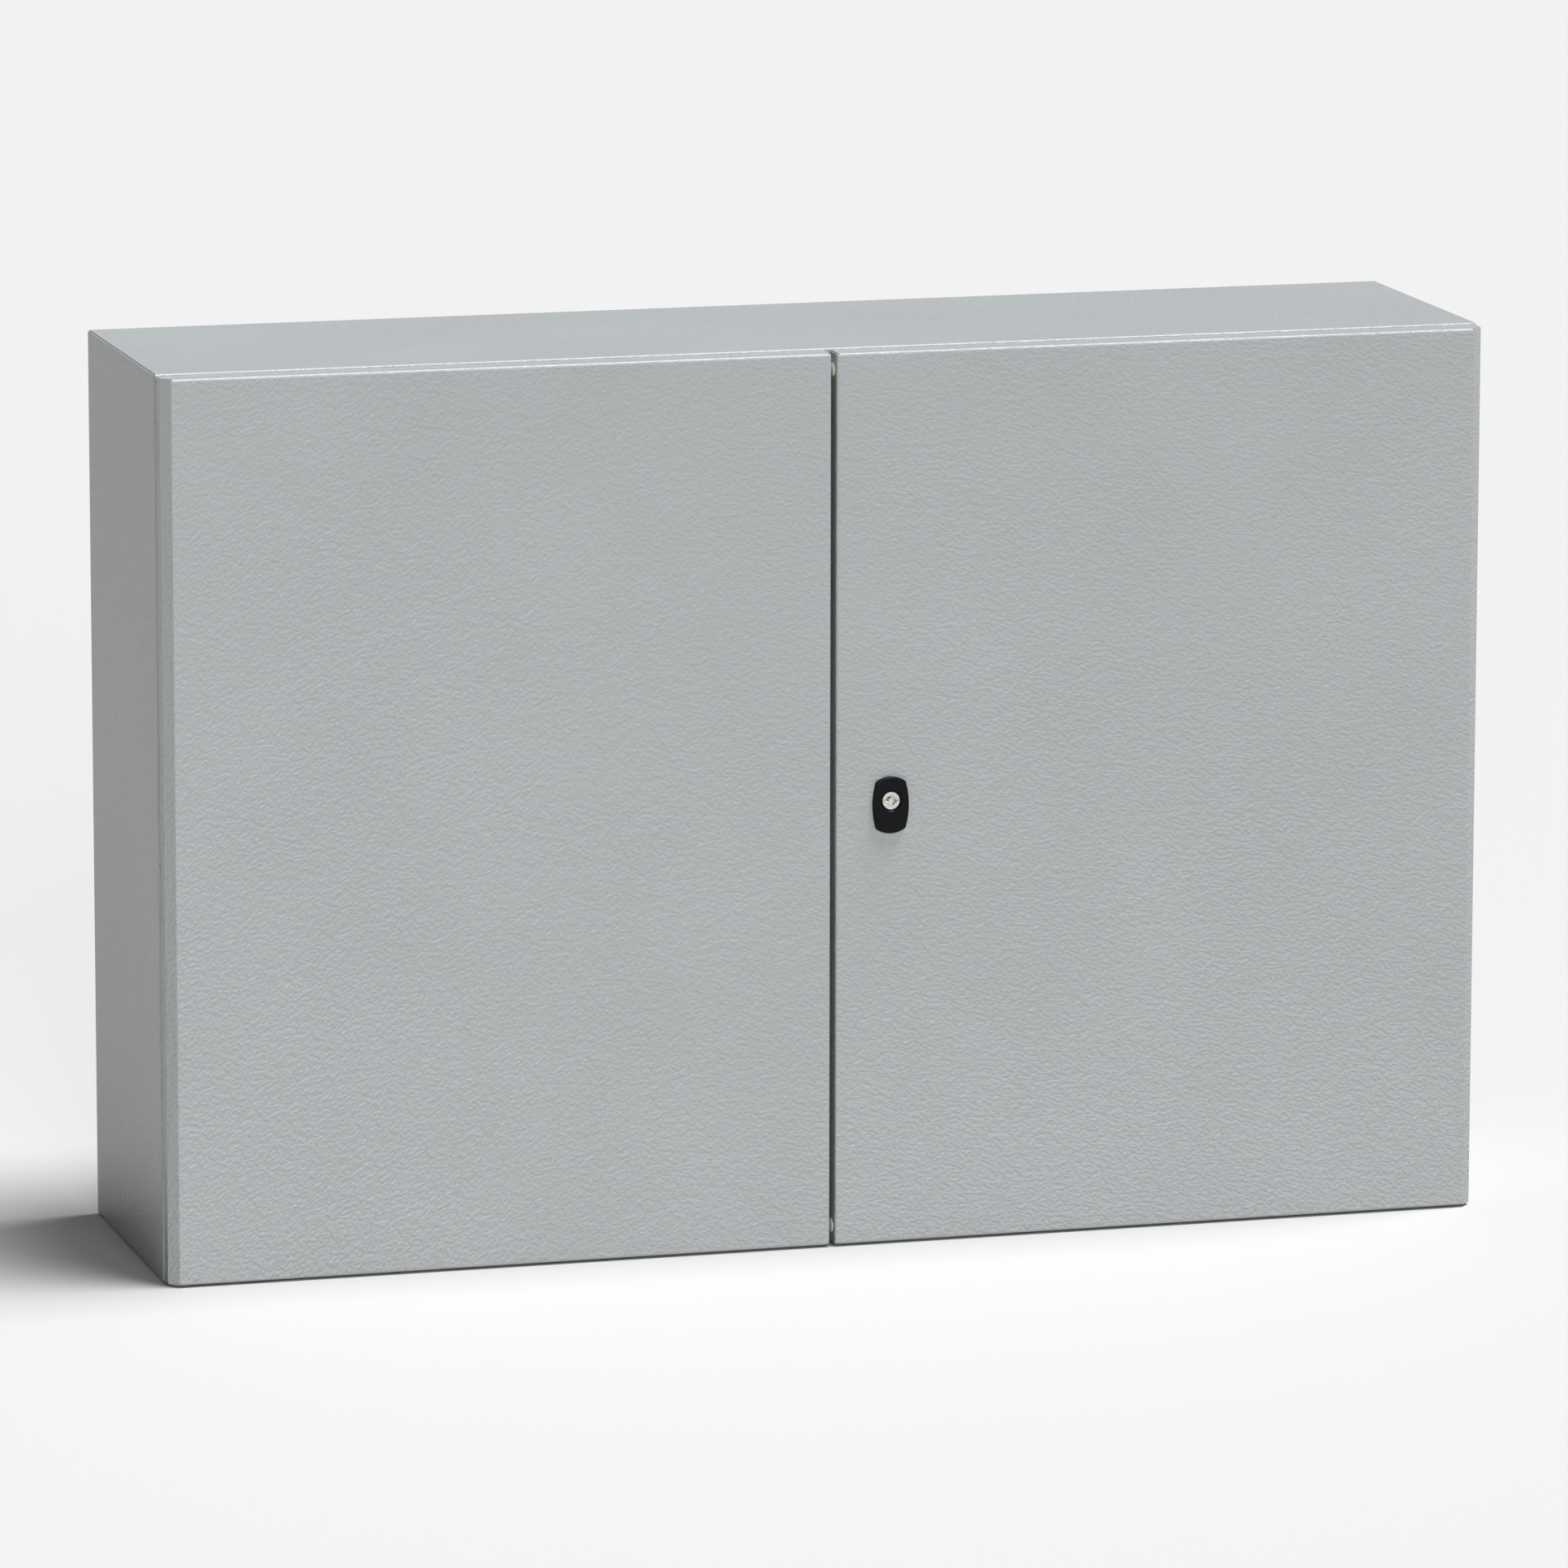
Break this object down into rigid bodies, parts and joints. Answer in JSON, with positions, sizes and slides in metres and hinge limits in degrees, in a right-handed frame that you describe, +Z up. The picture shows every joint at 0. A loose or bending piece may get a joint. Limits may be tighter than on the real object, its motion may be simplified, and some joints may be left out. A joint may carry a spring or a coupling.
{
  "type": "switchboard cabinet",
  "caption": "Wide wall-mounting steel enclosure with a pair of hinged front doors, rod lock, mounting plate and cable entry plates in its floor.",
  "frame": {"origin": "middle of the footprint, on the plane of the underside", "axes": "+X to the right when facing the doors, +Y from the doors to the wall, +Z up"},
  "size_m": [1.2, 0.304, 0.8],
  "materials": {
    "grey_powder_coat": "textured polyester powder coat, light grey",
    "zinc_plated_steel": "bright zinc plated",
    "galvanised_sheet": "hot dip galvanised with a fine spangle",
    "zinc_casting": "bare zinc die casting, warm grey",
    "nickel_casting": "satin nickel plated zinc",
    "black_plastic": "moulded, slight sheen",
    "ivory_plastic": "moulded polyamide",
    "seal_foam": "foamed polyurethane",
    "brass_stud": "plain brass"
  },
  "bodies": {
    "cabinet": {"back_panel": "grey_powder_coat", "bottom_panel": "grey_powder_coat", "centre_post": "grey_powder_coat", "centre_post_screws": "zinc_plated_steel", "earth_stud": "brass_stud", "gland_plate_nuts": "zinc_plated_steel", "gland_plate_studs": "zinc_plated_steel", "hinge_pins": "zinc_plated_steel", "hinge_screws": "zinc_plated_steel", "left_gland_gasket": "seal_foam", "left_gland_plate": "grey_powder_coat", "left_lower_hinge_bracket": "zinc_casting", "left_middle_hinge_bracket": "zinc_casting", "left_side_panel": "grey_powder_coat", "left_upper_hinge_bracket": "zinc_casting", "mounting_plate": "galvanised_sheet", "mounting_plate_nuts": "zinc_plated_steel", "mounting_plate_spacers": "zinc_plated_steel", "mounting_plate_studs": "zinc_plated_steel", "mounting_plate_washers": "zinc_plated_steel", "right_gland_gasket": "seal_foam", "right_gland_plate": "grey_powder_coat", "right_lower_hinge_bracket": "zinc_casting", "right_middle_hinge_bracket": "zinc_casting", "right_side_panel": "grey_powder_coat", "right_upper_hinge_bracket": "zinc_casting", "top_panel": "grey_powder_coat"},
    "left_door": {"left_door_earth_stud": "brass_stud", "left_door_edge_plugs": "ivory_plastic", "left_door_gasket": "seal_foam", "left_door_inner_rail": "zinc_plated_steel", "left_door_outer_rail": "zinc_plated_steel", "left_door_panel": "grey_powder_coat", "left_lower_hinge_leaf": "zinc_casting", "left_middle_hinge_leaf": "zinc_casting", "left_upper_hinge_leaf": "zinc_casting", "upper_bolt_bracket": "zinc_plated_steel", "lower_bolt_bracket": "zinc_plated_steel"},
    "right_door": {"right_door_earth_stud": "brass_stud", "right_door_edge_plugs": "ivory_plastic", "right_door_gasket": "seal_foam", "right_door_inner_rail": "zinc_plated_steel", "right_door_outer_rail": "zinc_plated_steel", "right_door_panel": "grey_powder_coat", "right_lower_hinge_leaf": "zinc_casting", "right_middle_hinge_leaf": "zinc_casting", "right_upper_hinge_leaf": "zinc_casting", "lock_cover": "black_plastic", "lock_housing": "black_plastic", "lock_nut": "nickel_casting", "upper_rod_guide": "zinc_plated_steel", "lower_rod_guide": "zinc_plated_steel"},
    "lock": {"lock_insert": "nickel_casting", "lock_cam": "zinc_plated_steel", "cam_screw": "zinc_plated_steel"},
    "upper_rod": {"upper_lock_rod": "zinc_plated_steel"},
    "lower_rod": {"lower_lock_rod": "zinc_plated_steel"},
    "upper_bolt": {"upper_door_bolt": "zinc_plated_steel"},
    "lower_bolt": {"lower_door_bolt": "zinc_plated_steel"}
  },
  "joints": [
    {"name": "left_door_hinge", "type": "hinge", "parent": "cabinet", "child": "left_door", "pos_m": [-0.5935, -0.1335, 0.4], "axis": [0, 0, -1], "range_deg": [0, 120]},
    {"name": "right_door_hinge", "type": "hinge", "parent": "cabinet", "child": "right_door", "pos_m": [0.5935, -0.1335, 0.4], "axis": [0, 0, 1], "range_deg": [0, 120]},
    {"name": "lock_turn", "type": "hinge", "parent": "right_door", "child": "lock", "pos_m": [0.052, -0.1335, 0.4], "axis": [0, -1, 0], "range_deg": [0, 90]},
    {"name": "upper_rod_slide", "type": "slide", "parent": "right_door", "child": "upper_rod", "axis": [0, 0, 1], "range_m": [0, 0.0198]},
    {"name": "lower_rod_slide", "type": "slide", "parent": "right_door", "child": "lower_rod", "axis": [0, 0, -1], "range_m": [0, 0.0198]},
    {"name": "upper_bolt_slide", "type": "slide", "parent": "left_door", "child": "upper_bolt", "axis": [0, 0, 1], "range_m": [0, 0.018]},
    {"name": "lower_bolt_slide", "type": "slide", "parent": "left_door", "child": "lower_bolt", "axis": [0, 0, -1], "range_m": [0, 0.018]}
  ],
  "couplings": [
    {"joint": "upper_rod_slide", "follows": "lock_turn", "m_per_rad": 0.012604},
    {"joint": "lower_rod_slide", "follows": "lock_turn", "m_per_rad": 0.012604}
  ]
}
